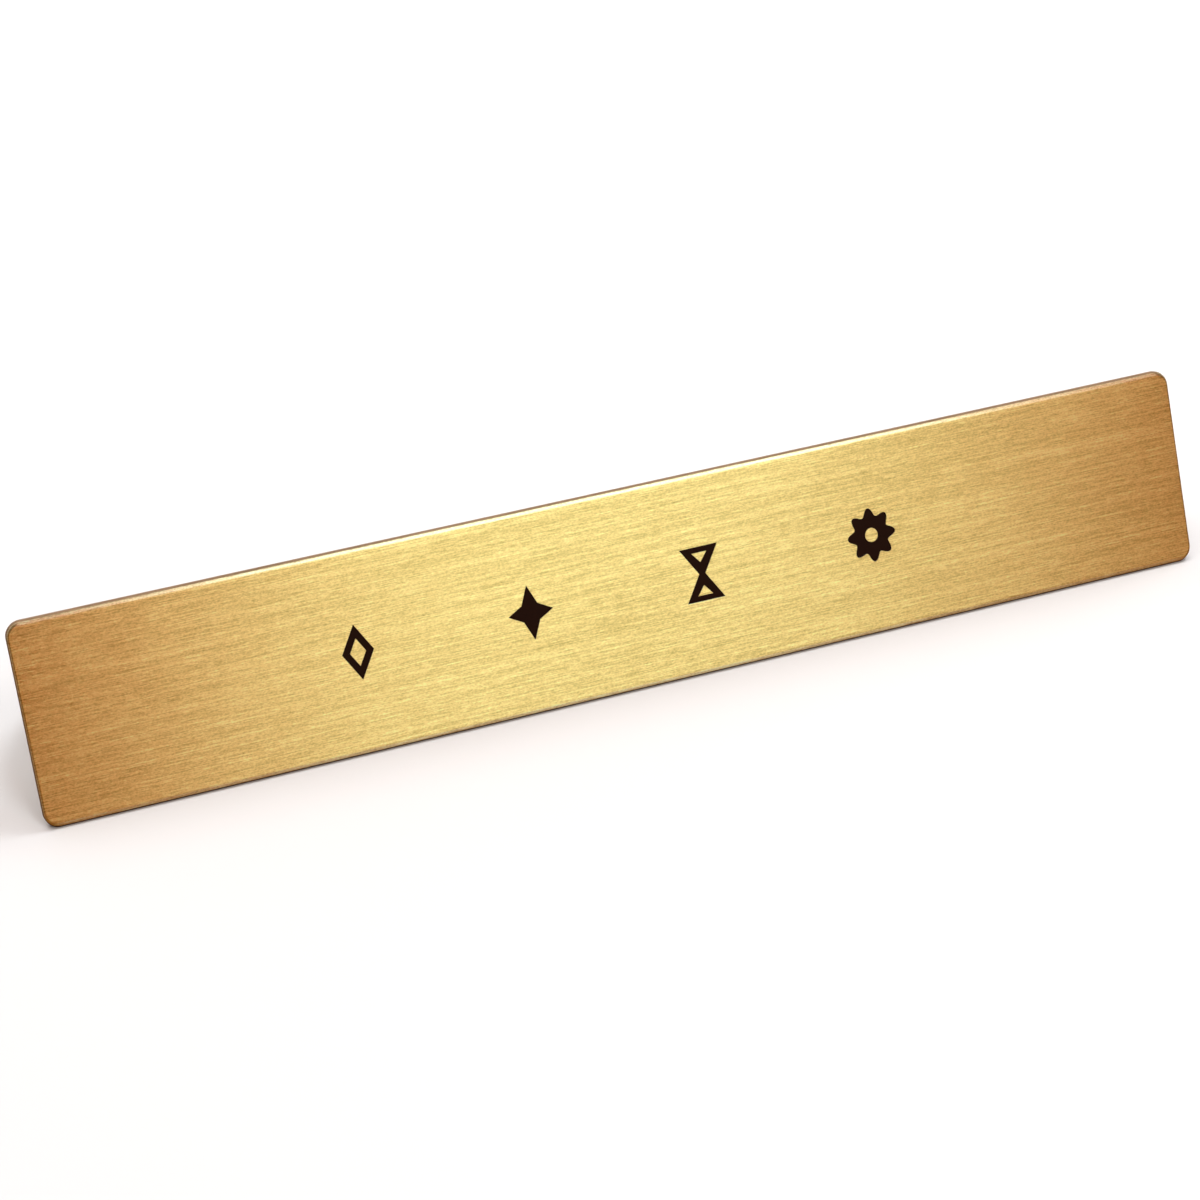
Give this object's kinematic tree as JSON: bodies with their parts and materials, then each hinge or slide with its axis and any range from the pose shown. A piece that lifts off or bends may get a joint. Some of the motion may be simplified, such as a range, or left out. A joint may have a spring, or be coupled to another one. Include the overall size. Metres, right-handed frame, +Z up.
{
  "type": "desk paperweight",
  "caption": "Long thin brushed brass plate with an engraved row of ornaments, leaning back on a heavy triangular brass bar with a felt pad.",
  "frame": {"origin": "middle of the footprint, on the table", "axes": "+X along the plate, to the right as the engraved face is read; +Y to the back, where the weight bar is; +Z up. The engraved face looks towards -Y and leans back 30 degrees"},
  "size_m": [0.18, 0.0284, 0.026],
  "materials": {
    "brushed_brass": "brushed along its length, clear coated",
    "bar_brass": "drawn and lightly brushed",
    "brown_paint": "dark brown enamel paint filled into the engraving, flat and slightly below the face",
    "black_foam": "closed-cell mounting foam",
    "dark_felt": "dense wool felt"
  },
  "bodies": {
    "root": {"face_plate": "brushed_brass", "fill_lozenge": "brown_paint", "fill_star": "brown_paint", "fill_hourglass": "brown_paint", "fill_rosette": "brown_paint", "weight_bar": "bar_brass", "tape_left": "black_foam", "tape_right": "black_foam", "base_pad": "dark_felt"}
  },
  "joints": []
}
